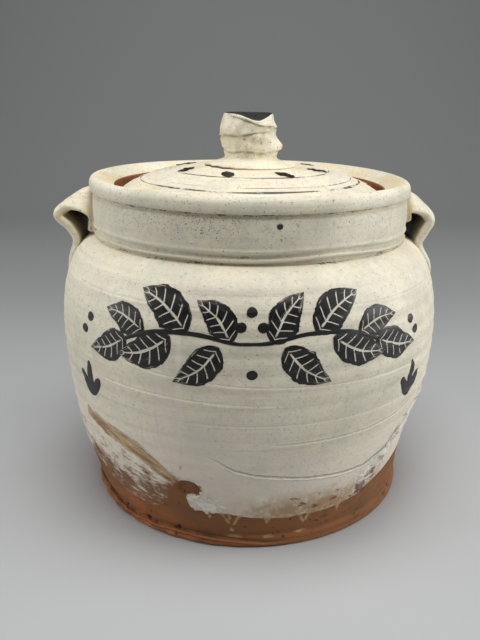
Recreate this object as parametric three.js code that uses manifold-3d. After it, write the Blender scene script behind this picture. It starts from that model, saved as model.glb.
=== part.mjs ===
// A lidded earthenware storage jar, thrown on the wheel: a round-bellied pot with a gallery rim,
// two pulled strap lugs, a domed lid that sits inside the rim, and a knob of twisted clay.
// Millimetres, +Z up. The origin is the middle of the foot, on the table.
// The lugs stand out along X, and the front of the jar looks along -Y.

import * as THREE from 'three';
import { mergeVertices } from 'three/addons/utils/BufferGeometryUtils.js';
import Module from 'manifold-3d';

// Foot of the pot
const FOOT_RADIUS = 98.6;
const FOOT_BEVEL = 1.8;
const TOE_OUT = 1.5;
const TOE_HEIGHT = 5.5;
const TOE_STEP = 2.5;

// Wall of the pot, from the foot to the neck
const BELLY_RADIUS = 115;
const BELLY_HEIGHT = 106;
const LOWER_SWELL = 4.4;
const SHOULDER_HEIGHT = 54;
const SHOULDER_LEDGE = 16.5;
const SHOULDER_FALL = 6;
const FOOT_PULL = 0.3;
const BELLY_PULL = 0.37;
const SHOULDER_PULL = 0.46;
const WALL = 7;
const FLOOR = 9;
const FLOOR_FILLET = 16;

// Collar: a groove, a bead and a small ridge at its foot, then a nearly straight band
const COLLAR_RADIUS = 93;
const COLLAR_HEIGHT = 26;
const COLLAR_BULGE = 0.8;
const GROOVE_DEPTH = 1.3;
const GROOVE_HEIGHT = 1.6;
const BEAD_OUT = 0.7;
const BEAD_HEIGHT = 1.6;
const COVE_DEPTH = 0.7;
const COVE_HEIGHT = 3.6;

// Rim, and the gallery inside it that carries the lid
const RIM_OUT = 2.2;
const RIM_HEIGHT = 8;
const RIM_ROUND = 3.2;
const RIM_UNDERCUT = 1.6;
const RIM_SLOPE_WIDTH = 14.5;
const RIM_SLOPE_DROP = 6.5;
const GALLERY_DEPTH = 5;
const LEDGE_WIDTH = 9.5;
const LEDGE_EDGE = 1.2;
const LEDGE_THICKNESS = 6;
const LEDGE_UNDERSIDE = 11;

// Lid
const LID_CLEARANCE = 1.8;
const LID_EDGE_HEIGHT = 5.6;
const LID_EDGE_ROUND = 1.6;
const LID_RISE = 11;
const LID_THICKNESS = 7;
const LID_SEAT_OVERHANG = 3;
const LID_PAD_MARGIN = 3;

// Knob: a lump of clay twisted while wet. Turns are in radians from the front towards +X.
const KNOB_HEIGHT = 30;
const KNOB_BASE_RADIUS = 27;
const KNOB_FLARE_HEIGHT = 5.6;
const KNOB_RADIUS = 15.6;
const KNOB_TOP_RADIUS = 14.2;
const KNOB_DISH = 3;
const KNOB_SWAY_LOW = 0.9;
const KNOB_SWAY_TOP = -0.6;
const LIP_DIP = 3.9;
const LIP_DIP_TURN = 0.25;
const LIP_DIP_SPREAD = 0.5;
const UPPER_FOLD_HEIGHT = 26;
const UPPER_FOLD_LEAN = -4.1;
const UPPER_FOLD_OUT = 0.8;
const MIDDLE_FOLD_HEIGHT = 19.2;
const MIDDLE_FOLD_LEAN = 1.9;
const MIDDLE_FOLD_OUT = 2.5;
const MIDDLE_FOLD_SOFT = 10;
const MIDDLE_FOLD_SHARP = 5;
const LOWER_FOLD_HEIGHT = 9.1;
const LOWER_FOLD_OUT = 0.5;
const FOLD_SOFT = 4.2;
const FOLD_SHARP = 2;
const LUMP_HEIGHT = 11.6;
const LUMP_OUT = 3.2;
const LUMP_TURN = 1.48;
const LUMP_SPREAD = 0.55;
const LUMP_SIZE = 3;

// Lugs: a strap pulled from wet clay, bent over and pressed down on the shoulder
const LUG_LEFT_REACH = 24.6;
const LUG_RIGHT_REACH = 18.6;
const LUG_THICKNESS = 6;
const LUG_ROOT_WIDTH = 44;
const LUG_TIP_WIDTH = 35;
const LUG_TAIL_WIDTH = 34;
const LUG_END_WIDTH = 24;
const LUG_ROOT_DROP = 3.4;
const LUG_TIP_DROP = 12.2;
const LUG_PINCH_DROP = 5.5;
const LUG_LEFT_STANDOFF = 3.5;
const LUG_RIGHT_STANDOFF = 1;
const LUG_TAIL_LENGTH = 24;
const LUG_TAIL_THICKNESS = 3.6;
const LUG_LEFT_ROOT_CAMBER = 20;
const LUG_RIGHT_ROOT_CAMBER = 14;
const LUG_TIP_CAMBER = 1.2;
const LUG_CORNER_POWER = 0.6;

// Gap left where one piece is luted to, or rests on, another
const JOIN_GAP = 0.3;

// Facets
const TURN_STEPS = 48;
const WALL_STEPS = 8;
const ARC_STEPS = 4;
const KNOB_SIDES = 32;
const KNOB_RINGS = 22;
const STRAP_SIDES = 16;
const STRAP_RINGS = 26;

// Levels and radii that follow from the sizes above
const NECK_Z = BELLY_HEIGHT + SHOULDER_HEIGHT;
const RIM_UNDER_Z = NECK_Z + COLLAR_HEIGHT;
const RIM_Z = RIM_UNDER_Z + RIM_HEIGHT;
const RIM_RADIUS = COLLAR_RADIUS + RIM_OUT;
const GALLERY_RADIUS = RIM_RADIUS - RIM_SLOPE_WIDTH;
const GALLERY_Z = RIM_Z - RIM_SLOPE_DROP;
const LEDGE_Z = GALLERY_Z - GALLERY_DEPTH;
const MOUTH_RADIUS = GALLERY_RADIUS - LEDGE_WIDTH;
const LID_RADIUS = GALLERY_RADIUS - LID_CLEARANCE;
const LID_SEAT_Z = LEDGE_Z + JOIN_GAP;
const LID_EDGE_Z = LID_SEAT_Z + LID_EDGE_HEIGHT;
const LID_TOP_Z = LID_EDGE_Z + LID_RISE;
const KNOB_Z = LID_TOP_Z + JOIN_GAP;

const SLIP_COLOUR = 0xe4dcc6;
const WARM_SLIP_COLOUR = 0xe8dcbc;

const { lerp, smoothstep } = THREE.MathUtils;
const point = (r, z) => new THREE.Vector2(r, z);

const wasm = await Module();
wasm.setup();

// Joining and cutting of closed meshes

function solidFrom(geometry) {
  const bare = geometry.clone();
  bare.deleteAttribute('normal');
  bare.deleteAttribute('uv');
  const merged = mergeVertices(bare, 1e-3);
  return new wasm.Manifold(new wasm.Mesh({
    numProp: 3,
    vertProperties: new Float32Array(merged.attributes.position.array),
    triVerts: new Uint32Array(merged.index.array),
  }));
}

function geometryFrom(solid) {
  const mesh = solid.getMesh();
  const geometry = new THREE.BufferGeometry();
  geometry.setAttribute('position', new THREE.BufferAttribute(mesh.vertProperties, 3));
  geometry.setIndex(new THREE.BufferAttribute(mesh.triVerts, 1));
  geometry.computeVertexNormals();
  return geometry;
}

// A profile in (radius, height) turned about the Z axis
function turned(profile) {
  return new THREE.LatheGeometry(profile, TURN_STEPS).rotateX(Math.PI / 2);
}

// Closed rings of points joined into a skin, with each end filled by a fan
function lofted(rings) {
  const sides = rings[0].length;
  const ends = [rings[0], rings[rings.length - 1]];
  const middles = ends.map((ring) => ring
    .reduce((sum, p) => sum.add(p), new THREE.Vector3())
    .divideScalar(sides));
  const corners = rings.flat().concat(middles);
  const first = rings.length * sides;
  const last = first + 1;
  const lastRing = (rings.length - 1) * sides;
  const faces = [];
  for (let j = 0; j < sides; j += 1) {
    const k = (j + 1) % sides;
    for (let a = 0; a < lastRing; a += sides) {
      const b = a + sides;
      faces.push(a + j, a + k, b + k, a + j, b + k, b + j);
    }
    faces.push(first, k, j, last, lastRing + j, lastRing + k);
  }
  return new THREE.BufferGeometry().setFromPoints(corners).setIndex(faces);
}

// Curves of the pot's wall, foot to belly and belly to neck

const wallStart = point(FOOT_RADIUS, TOE_HEIGHT + TOE_STEP);
const belly = point(BELLY_RADIUS, BELLY_HEIGHT);
const neck = point(COLLAR_RADIUS, NECK_Z);

const lowerWall = new THREE.CubicBezierCurve(
  wallStart,
  point(FOOT_RADIUS + LOWER_SWELL, lerp(wallStart.y, BELLY_HEIGHT, FOOT_PULL)),
  point(BELLY_RADIUS, lerp(BELLY_HEIGHT, wallStart.y, BELLY_PULL)),
  belly,
);
const shoulder = new THREE.CubicBezierCurve(
  belly,
  point(BELLY_RADIUS, lerp(BELLY_HEIGHT, NECK_Z, SHOULDER_PULL)),
  point(COLLAR_RADIUS + SHOULDER_LEDGE, NECK_Z - SHOULDER_FALL),
  neck,
);

// Points of a wall curve moved square to it, outwards where the distance is positive
function offsetPoints(curve, steps, distance) {
  return curve.getPoints(steps).map((p, i) => {
    const along = curve.getTangent(i / steps);
    return point(p.x + along.y * distance, p.y - along.x * distance);
  });
}

// Outer radius of the shoulder at a height, by halving the span of the curve
function shoulderRadiusAt(z) {
  let low = 0;
  let high = 1;
  for (let i = 0; i < 30; i += 1) {
    const middle = (low + high) / 2;
    if (shoulder.getPoint(middle).y < z) {
      low = middle;
    } else {
      high = middle;
    }
  }
  return shoulder.getPoint(low).x;
}

function arcPoints(x, z, radius, from, to) {
  const arc = new THREE.EllipseCurve(x, z, radius, radius, from, to, to < from);
  return arc.getPoints(ARC_STEPS);
}

// Outside of the pot from the edge of the flat foot to the top of the rim, grown by a margin
function outsidePoints(margin) {
  const r = COLLAR_RADIUS + margin;
  const grooveTop = NECK_Z + GROOVE_HEIGHT;
  const beadTop = grooveTop + BEAD_HEIGHT;
  const ridge = beadTop + COVE_HEIGHT;
  const band = new THREE.QuadraticBezierCurve(
    point(r + BEAD_OUT, ridge),
    point(r + COLLAR_BULGE, (ridge + RIM_UNDER_Z) / 2),
    point(r, RIM_UNDER_Z),
  );
  const rim = RIM_RADIUS + margin;
  const toe = FOOT_RADIUS + TOE_OUT + margin;
  return [
    point(toe - FOOT_BEVEL, 0),
    point(toe, FOOT_BEVEL),
    point(toe, TOE_HEIGHT),
    ...offsetPoints(lowerWall, WALL_STEPS, margin),
    ...offsetPoints(shoulder, WALL_STEPS, margin).slice(1),
    point(r - GROOVE_DEPTH, NECK_Z + GROOVE_HEIGHT / 2),
    point(r + BEAD_OUT, grooveTop),
    point(r + BEAD_OUT, beadTop),
    point(r - COVE_DEPTH, beadTop + COVE_HEIGHT / 2),
    ...band.getPoints(ARC_STEPS),
    point(rim - RIM_UNDERCUT / 2, RIM_UNDER_Z + RIM_UNDERCUT / 2),
    point(rim, RIM_UNDER_Z + RIM_UNDERCUT),
    ...arcPoints(rim - RIM_ROUND, RIM_Z + margin - RIM_ROUND, RIM_ROUND, 0, Math.PI / 2),
  ];
}

// Gallery, underside of its ledge, inner wall and floor, from the rim down to the axis
function insidePoints() {
  const inner = COLLAR_RADIUS - WALL;
  const ledgeFoot = LEDGE_Z - LEDGE_THICKNESS;
  const filletTop = FLOOR + FLOOR_FILLET;
  const wall = [
    ...offsetPoints(shoulder, WALL_STEPS, -WALL).reverse(),
    ...offsetPoints(lowerWall, WALL_STEPS, -WALL).reverse().slice(1),
  ].filter((p) => p.y > filletTop);
  const lowest = wall[wall.length - 1];
  const fillet = new THREE.QuadraticBezierCurve(
    lowest,
    point(FOOT_RADIUS - WALL, FLOOR),
    point(FOOT_RADIUS - WALL - FLOOR_FILLET, FLOOR),
  );
  return [
    point(GALLERY_RADIUS, GALLERY_Z),
    point(GALLERY_RADIUS, LEDGE_Z),
    point(MOUTH_RADIUS + LEDGE_EDGE, LEDGE_Z),
    point(MOUTH_RADIUS, LEDGE_Z - LEDGE_EDGE),
    point(MOUTH_RADIUS, ledgeFoot),
    point(inner, ledgeFoot - LEDGE_UNDERSIDE),
    ...wall,
    ...fillet.getPoints(ARC_STEPS).slice(1),
    point(0, FLOOR),
  ];
}

function potGeometry() {
  return turned([point(0, 0), ...outsidePoints(0), ...insidePoints()]);
}

// The pot's whole outer form, grown by the join gap: what the lugs are cut to
function potCutter() {
  const outside = outsidePoints(JOIN_GAP);
  return solidFrom(turned([point(0, 0), ...outside, point(0, RIM_Z + JOIN_GAP)]));
}

function lidGeometry() {
  const seatInner = MOUTH_RADIUS - LID_SEAT_OVERHANG;
  const pad = KNOB_BASE_RADIUS + LID_PAD_MARGIN;
  const underside = new THREE.QuadraticBezierCurve(
    point(0, LID_TOP_Z - LID_THICKNESS),
    point(pad, LID_TOP_Z - LID_THICKNESS),
    point(seatInner, LID_SEAT_Z),
  );
  const dome = new THREE.QuadraticBezierCurve(
    point(LID_RADIUS - LID_EDGE_ROUND, LID_EDGE_Z),
    point((LID_RADIUS + pad) / 2, LID_TOP_Z - LID_EDGE_ROUND),
    point(pad, LID_TOP_Z),
  );
  return turned([
    ...underside.getPoints(WALL_STEPS / 2),
    point(LID_RADIUS - LID_EDGE_ROUND, LID_SEAT_Z),
    point(LID_RADIUS, LID_SEAT_Z + LID_EDGE_ROUND),
    ...arcPoints(
      LID_RADIUS - LID_EDGE_ROUND, LID_EDGE_Z - LID_EDGE_ROUND, LID_EDGE_ROUND, 0, Math.PI / 2,
    ),
    ...dome.getPoints(WALL_STEPS).slice(1),
    point(0, LID_TOP_Z),
  ]);
}

// Radius of the untwisted knob at a height: a flared base, a straight body and a narrower top
function knobRadius(z) {
  const flare = 1 - smoothstep(z, 0, KNOB_FLARE_HEIGHT);
  const narrow = smoothstep(z, MIDDLE_FOLD_HEIGHT, KNOB_HEIGHT);
  const body = lerp(KNOB_RADIUS, KNOB_TOP_RADIUS, narrow);
  return lerp(body, KNOB_BASE_RADIUS, flare * flare);
}

// A hump round the axis, 1 at its turn and fading over its spread
function humpAt(angle, turn, spread) {
  return Math.exp((-2 * (1 - Math.cos(angle - turn))) / spread ** 2);
}

// How far the folds and the squeezed-out lump stand out. A fold swells slowly from above and drops
// back faster below its edge. The upper two lean opposite ways and run together on the right.
function foldOut(angle, z) {
  const side = Math.sin(angle);
  const fold = (height, out, above, below) => {
    const reach = z > height ? above : below;
    return out * Math.exp(-(((z - height) / reach) ** 2));
  };
  const upper = UPPER_FOLD_HEIGHT + UPPER_FOLD_LEAN * side;
  const middle = MIDDLE_FOLD_HEIGHT + MIDDLE_FOLD_LEAN * side;
  const lump = humpAt(angle, LUMP_TURN, LUMP_SPREAD)
    * Math.exp(-(((z - LUMP_HEIGHT) / LUMP_SIZE) ** 2));
  return fold(upper, (UPPER_FOLD_OUT * (3 + 2 * side)) / 5, FOLD_SOFT, FOLD_SHARP)
    + fold(middle, (MIDDLE_FOLD_OUT * (1 - side)) / 2, MIDDLE_FOLD_SOFT, MIDDLE_FOLD_SHARP)
    + fold(LOWER_FOLD_HEIGHT, LOWER_FOLD_OUT, FOLD_SOFT, FOLD_SHARP)
    + LUMP_OUT * lump;
}

// Rings up the knob's swaying side, then two in its dished top, whose lip dips at the front
function knobGeometry() {
  const ring = (height, share) => Array.from({ length: KNOB_SIDES }, (_, j) => {
    const angle = (2 * Math.PI * j) / KNOB_SIDES;
    const dip = LIP_DIP * humpAt(angle, LIP_DIP_TURN, LIP_DIP_SPREAD);
    const z = height - dip * ((share * height) / KNOB_HEIGHT) ** 4;
    const r = share * (knobRadius(z) + foldOut(angle, z));
    const sunk = KNOB_DISH * (1 - share ** 2);
    const sway = lerp(KNOB_SWAY_LOW, KNOB_SWAY_TOP, z / KNOB_HEIGHT);
    return new THREE.Vector3(sway + r * Math.sin(angle), -r * Math.cos(angle), KNOB_Z + z - sunk);
  });
  const rings = [];
  for (let i = 0; i <= KNOB_RINGS; i += 1) {
    rings.push(ring((KNOB_HEIGHT * i) / KNOB_RINGS, 1));
  }
  rings.push(ring(KNOB_HEIGHT, 0.7), ring(KNOB_HEIGHT, 0.35));
  return lofted(rings);
}

// Middle line of a lug's strap in (radius, height), from inside the collar to the tail's end.
// The standoff is how far the strap's middle lies from the shoulder where it is pressed down.
function strapPath(reach, standoff) {
  const rootZ = RIM_UNDER_Z - LUG_ROOT_DROP;
  const tip = COLLAR_RADIUS + reach - LUG_THICKNESS / 2;
  const tipZ = rootZ - LUG_TIP_DROP;
  const pinchZ = NECK_Z - LUG_PINCH_DROP;
  const endZ = pinchZ - LUG_TAIL_LENGTH;
  const tailZ = (pinchZ + endZ) / 2;
  return new THREE.SplineCurve([
    point(COLLAR_RADIUS - WALL, rootZ - LUG_THICKNESS / 4),
    point(COLLAR_RADIUS + LUG_THICKNESS / 2, rootZ),
    point((COLLAR_RADIUS + tip) / 2 + LUG_THICKNESS / 4, rootZ - LUG_TIP_DROP / 3),
    point(tip, tipZ),
    point((tip + shoulderRadiusAt(pinchZ)) / 2, (tipZ + pinchZ) / 2),
    point(shoulderRadiusAt(pinchZ) + standoff, pinchZ),
    point(shoulderRadiusAt(tailZ) + LUG_TAIL_THICKNESS / 4, tailZ),
    point(shoulderRadiusAt(endZ) - LUG_TAIL_THICKNESS / 4, endZ),
  ]);
}

// One lug, made on the +X side: flat oval rings along the strap, cut to the pot's outside.
// At the root the strap's edges sweep down the collar by the camber.
function lugGeometry(cutter, reach, standoff, rootCamber) {
  const path = strapPath(reach, standoff);
  const widths = new THREE.SplineCurve([
    point(0, LUG_ROOT_WIDTH),
    point(1, LUG_TIP_WIDTH),
    point(2, LUG_TAIL_WIDTH),
    point(3, LUG_END_WIDTH),
  ]);
  const roundCorner = (v) => Math.sign(v) * Math.abs(v) ** LUG_CORNER_POWER;
  const rings = [];
  for (let i = 0; i <= STRAP_RINGS; i += 1) {
    const t = i / STRAP_RINGS;
    const middle = path.getPoint(t);
    const along = path.getTangent(t);
    const half = widths.getPoint(t).y / 2;
    const thin = smoothstep(t, 0.6, 1);
    const thickness = lerp(LUG_THICKNESS, LUG_TAIL_THICKNESS, thin);
    const flat = smoothstep(t, 0.05, 0.3);
    const camber = lerp(rootCamber, LUG_TIP_CAMBER, flat);
    rings.push(Array.from({ length: STRAP_SIDES }, (_, j) => {
      const turn = (2 * Math.PI * j) / STRAP_SIDES;
      const across = roundCorner(Math.cos(turn));
      const out = (thickness / 2) * roundCorner(Math.sin(turn)) - camber * Math.abs(across) ** 3;
      return new THREE.Vector3(middle.x - along.y * out, half * across, middle.y + along.x * out);
    }));
  }
  return geometryFrom(solidFrom(lofted(rings)).subtract(cutter));
}

function piece(name, geometry, color, roughness) {
  const material = new THREE.MeshStandardMaterial({ color, roughness, metalness: 0 });
  const mesh = new THREE.Mesh(geometry, material);
  mesh.name = name;
  return mesh;
}

const jar = new THREE.Group();
jar.add(piece('jar_body', potGeometry(), SLIP_COLOUR, 0.55));

const cutter = potCutter();
const rightLug = lugGeometry(
  cutter, LUG_RIGHT_REACH, LUG_RIGHT_STANDOFF, LUG_RIGHT_ROOT_CAMBER,
);
const leftLug = lugGeometry(
  cutter, LUG_LEFT_REACH, LUG_LEFT_STANDOFF, LUG_LEFT_ROOT_CAMBER,
).rotateZ(Math.PI);
jar.add(piece('lug_right', rightLug, WARM_SLIP_COLOUR, 0.6));
jar.add(piece('lug_left', leftLug, WARM_SLIP_COLOUR, 0.6));

const cover = new THREE.Group();
cover.add(piece('lid', lidGeometry(), WARM_SLIP_COLOUR, 0.5));
cover.add(piece('lid_knob', knobGeometry(), WARM_SLIP_COLOUR, 0.6));
jar.add(cover);

export default jar;
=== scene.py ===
import math

import bpy
import numpy as np
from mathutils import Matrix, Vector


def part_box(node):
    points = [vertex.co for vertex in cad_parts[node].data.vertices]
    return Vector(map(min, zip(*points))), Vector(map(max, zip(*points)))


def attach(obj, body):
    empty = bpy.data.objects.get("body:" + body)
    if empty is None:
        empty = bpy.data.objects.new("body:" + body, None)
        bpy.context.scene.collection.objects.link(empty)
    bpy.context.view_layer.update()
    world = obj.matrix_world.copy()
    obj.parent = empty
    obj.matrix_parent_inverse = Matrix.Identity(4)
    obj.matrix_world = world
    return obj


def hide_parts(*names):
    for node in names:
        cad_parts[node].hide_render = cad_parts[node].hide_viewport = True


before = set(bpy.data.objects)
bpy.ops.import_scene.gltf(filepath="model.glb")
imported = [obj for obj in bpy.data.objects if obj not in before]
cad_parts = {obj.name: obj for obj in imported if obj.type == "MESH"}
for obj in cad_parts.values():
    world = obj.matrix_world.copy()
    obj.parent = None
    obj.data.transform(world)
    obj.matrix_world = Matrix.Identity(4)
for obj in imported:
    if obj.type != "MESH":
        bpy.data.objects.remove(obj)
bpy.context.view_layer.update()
mm = 0.001
print("frame loaded:", ", ".join(sorted(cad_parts)))


# forms shared by the pieces: lengths are in mm, angles run from the front towards the right lug

def soft(x, low, high):
    # ramp from 0 at low to 1 at high, or down where low is the larger, with level ends: 3t^2 - 2t^3
    t = np.clip((x - low) / (high - low), 0, 1)
    return t * t * (3 - 2 * t)


def between(x, start, full, fade, end):
    # 1 from full to fade, ramping softly to 0 at start and end
    return soft(x, start, full) * soft(x, end, fade)


def bell(x, middle, width):
    # hump of height 1: exp(-((x - middle) / width)^2)
    return np.exp(-(((x - middle) / width) ** 2))


def unevenness(angle, along, seed, turns=6, pitch=40):
    # seamless swell of size about 1: a few sines, each with a whole number of waves round the axis
    draw = np.random.default_rng(seed)
    rounds = draw.integers(1, turns + 1, 8)
    rise = draw.uniform(-2, 2, 8) * math.pi / pitch
    shift = draw.uniform(0, 2 * math.pi, 8)
    waves = [np.sin(n * angle + k * along + p) for n, k, p in zip(rounds, rise, shift)]
    return sum(waves) / 2


def heightAt(line, degrees):
    # height of a line of (degrees, height) rows
    return np.interp(degrees, line[:, 0], line[:, 1])


def onceRound(count, start=0.0):
    # a row of angles in equal steps once round
    return start + np.linspace(0, 2 * math.pi, count, endpoint=False)[None, :]


def headings(line):
    # unit direction of a line at each of its points
    along = np.gradient(line, axis=0)
    return along / np.linalg.norm(along, axis=1)[:, None]


def evenly(points, count):
    # the same line walked in equal steps of its length
    step = np.linalg.norm(np.diff(points, axis=0), axis=1)
    walked = np.concatenate([[0], np.cumsum(step)])
    at = np.linspace(0, walked[-1], count)
    return np.stack([np.interp(at, walked, axis) for axis in points.T], axis=1)


def curveThrough(points, count):
    # Catmull-Rom cubic through all the points, then walked in equal steps
    p = np.asarray(points, float)
    p = np.concatenate([[2 * p[0] - p[1]], p, [2 * p[-1] - p[-2]]])
    t = np.linspace(0, len(p) - 3, 60 * len(p))
    k = np.minimum(t.astype(int), len(p) - 4)
    f = (t - k)[:, None]
    a, b, c, d = p[k], p[k + 1], p[k + 2], p[k + 3]
    line = b + f / 2 * (c - a + f * (2 * a - 5 * b + 4 * c - d + f * (3 * b - a - 3 * c + d)))
    return evenly(line, count)


def pulledCurve(a, b, c, d, count):
    # cubic Bezier from a to d, pulled towards b and c, walked in equal steps
    t = np.linspace(0, 1, 400)[:, None]
    a, b, c, d = (np.asarray(p, float) for p in (a, b, c, d))
    line = (1 - t) ** 3 * a + 3 * t * (1 - t) ** 2 * b + 3 * t * t * (1 - t) * c + t ** 3 * d
    return evenly(line, count)


settling = {"lowShift": 3.2, "lowHeight": 40, "lowSpan": 27, "lean": math.tan(math.radians(0.95))}


def settled(points):
    # the fired pot's own lean: the low belly stands to the left, and the top dips to the right
    x, y, z = (points[..., i] for i in range(3))
    moved = x - settling["lowShift"] * bell(z, settling["lowHeight"], settling["lowSpan"])
    dipped = z - x * settling["lean"] * soft(z, 95, 180)
    return np.stack([moved, y, dipped], axis=-1)


def turned(radius, angle, height):
    # (r sin a, -r cos a, z): angle 0 looks to the front, and a quarter turn to the right lug
    return np.stack([radius * np.sin(angle), -radius * np.cos(angle), height + 0 * angle], axis=-1)


def smoothMesh(name, points, faces, material):
    # a shaded mesh from points in metres and lists of corners
    mesh = bpy.data.meshes.new(name)
    mesh.from_pydata(points.tolist(), [], faces)
    mesh.shade_smooth()
    mesh.materials.append(material)
    return mesh


def added(name, data):
    # an object at the origin, linked into the scene
    item = bpy.data.objects.new(name, data)
    bpy.context.scene.collection.objects.link(item)
    return item


def closedSkin(name, sheets, material, body):
    # rings of points joined by quads, with a fan to the middle of the first and the last ring
    corners, faces, values = [], [], {}
    start = 0
    for sheet in sheets:
        points = sheet["points"]
        rows, columns = points.shape[:2]
        ids = start + np.arange(rows * columns).reshape(rows, columns)
        after = np.roll(ids, -1, axis=1)
        first = np.full(columns, start + rows * columns)
        last = first + 1
        faces += np.stack([ids[:-1], after[:-1], after[1:], ids[1:]], -1).reshape(-1, 4).tolist()
        faces += np.stack([first, after[0], ids[0]], -1).tolist()
        faces += np.stack([ids[-1], after[-1], last], -1).tolist()
        corners += [points.reshape(-1, 3), points[:1].mean(1), points[-1:].mean(1)]
        for key, value in sheet["values"].items():
            value = np.broadcast_to(value, (rows, columns))
            ends = [value[0].mean(), value[-1].mean()]
            values.setdefault(key, []).append(np.concatenate([value.ravel(), ends]))
        start += rows * columns + 2
    mesh = smoothMesh(name, np.concatenate(corners) * mm, faces, material)
    for key, parts in values.items():
        layer = mesh.attributes.new(key, "FLOAT", "POINT")
        layer.data.foreach_set("value", np.concatenate(parts).astype(np.float32))
    piece = added(name, mesh)
    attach(piece, body)
    print(name, "has", len(mesh.polygons), "faces")
    return piece


# nodes of the finishes

def colour(red, green, blue):
    # screen values 0-255 made linear
    share = np.array([red, green, blue]) / 255
    linear = np.where(share < 0.04045, share / 12.92, ((share + 0.055) / 1.055) ** 2.4)
    return (*linear.tolist(), 1)


def newFinish(name):
    # a material with one plain shader
    finish = bpy.data.materials.new(name)
    finish.use_nodes = True
    tree = finish.node_tree
    tree.nodes.clear()
    shader = tree.nodes.new("ShaderNodeBsdfPrincipled")
    output = tree.nodes.new("ShaderNodeOutputMaterial")
    tree.links.new(shader.outputs[0], output.inputs[0])
    return finish, tree, shader


class Wire:
    # an output of a node; sums and products of wires become Math nodes
    def __init__(self, socket):
        self.socket = socket
        self.nodes = socket.id_data.nodes

    def __add__(self, other):
        return calc("ADD", self, other)

    def __sub__(self, other):
        return calc("SUBTRACT", self, other)

    def __rsub__(self, other):
        return calc("SUBTRACT", other, self)

    def __mul__(self, other):
        return calc("MULTIPLY", self, other)

    def __abs__(self):
        return calc("ABSOLUTE", self)


def feed(socket, value):
    # a wire is linked, anything else becomes the socket's own value
    if isinstance(value, Wire):
        socket.id_data.links.new(value.socket, socket)
    else:
        socket.default_value = value


def calc(operation, *values):
    # one Math node in the tree of the first wire
    nodes = next(value.nodes for value in values if isinstance(value, Wire))
    node = nodes.new("ShaderNodeMath")
    node.operation = operation
    for socket, value in zip(node.inputs, values):
        feed(socket, value)
    return Wire(node.outputs[0])


def larger(first, second):
    # the larger of two wires, or of a wire and a number
    return calc("MAXIMUM", first, second)


def place(tree, scale=(1, 1, 1), turn=(0, 0, 0)):
    # the piece's own coordinates in metres, turned and then stretched
    where = Wire(tree.nodes.new("ShaderNodeTexCoord").outputs["Object"])
    for socket, value in (("Rotation", turn), ("Scale", scale)):
        mapping = tree.nodes.new("ShaderNodeMapping")
        feed(mapping.inputs["Vector"], where)
        feed(mapping.inputs[socket], value)
        where = Wire(mapping.outputs[0])
    return where


def read(tree, name):
    # a value that the mesh carries at its corners
    node = tree.nodes.new("ShaderNodeAttribute")
    node.attribute_name = name
    return Wire(node.outputs["Fac"])


def spread(value, low, high, start=0.0, end=1.0):
    # value from low to high becomes start to end, held level outside
    node = value.nodes.new("ShaderNodeMapRange")
    node.interpolation_type = "SMOOTHSTEP"
    for socket, given in zip(node.inputs, (value, low, high, start, end)):
        feed(socket, given)
    return Wire(node.outputs[0])


def mixed(share, first, second):
    # first where the share is 0, second where it is 1
    node = share.nodes.new("ShaderNodeMix")
    node.data_type = "RGBA"
    feed(node.inputs[0], share)
    feed(node.inputs[6], first)
    feed(node.inputs[7], second)
    return Wire(node.outputs[2])


def cloud(where, scale, detail=3.0, rough=0.55):
    # soft noise from 0 to 1
    node = where.nodes.new("ShaderNodeTexNoise")
    for name, value in (("Vector", where), ("Scale", scale), ("Detail", detail), ("Roughness", rough)):
        feed(node.inputs[name], value)
    return Wire(node.outputs["Fac"])


def streaks(tree, level, upright, detail, rough, slant=0.0):
    # noise with that many waves to a metre round the piece and up it, on a slant where one is given
    return cloud(place(tree, (level, level, upright), (0.0, slant, 0.0)), 1, detail, rough)


def distanceTo(where, point=(0, 0, 0)):
    # metres from a point of the piece
    node = where.nodes.new("ShaderNodeVectorMath")
    node.operation = "DISTANCE"
    feed(node.inputs[0], where)
    feed(node.inputs[1], point)
    return Wire(node.outputs["Value"])


def pits(where, scale, size, density):
    # round dots: near a cell's point, in the share of cells that the density lets through
    node = where.nodes.new("ShaderNodeTexVoronoi")
    feed(node.inputs["Vector"], where)
    feed(node.inputs["Scale"], scale)
    pick = where.nodes.new("ShaderNodeSeparateColor")
    feed(pick.inputs[0], Wire(node.outputs["Color"]))
    chosen = calc("LESS_THAN", Wire(pick.outputs[0]), density)
    width = Wire(pick.outputs[1]) * size
    return spread(Wire(node.outputs["Distance"]) - width, 0.03, -0.03) * chosen


slip = {
    "cool": colour(214, 209, 190),
    "plain": colour(236, 230, 208),
    "warm": colour(242, 231, 200),
    "rose": colour(228, 212, 196),
    "ochre": colour(226, 200, 138),
    "iron": colour(62, 50, 40),
    "wash": colour(180, 174, 156),
    # dark umber, used both for painted shade and for brown smudges
    "shadeAndSmudge": colour(62, 50, 36),
    "dipped": colour(30, 31, 30),
}


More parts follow.
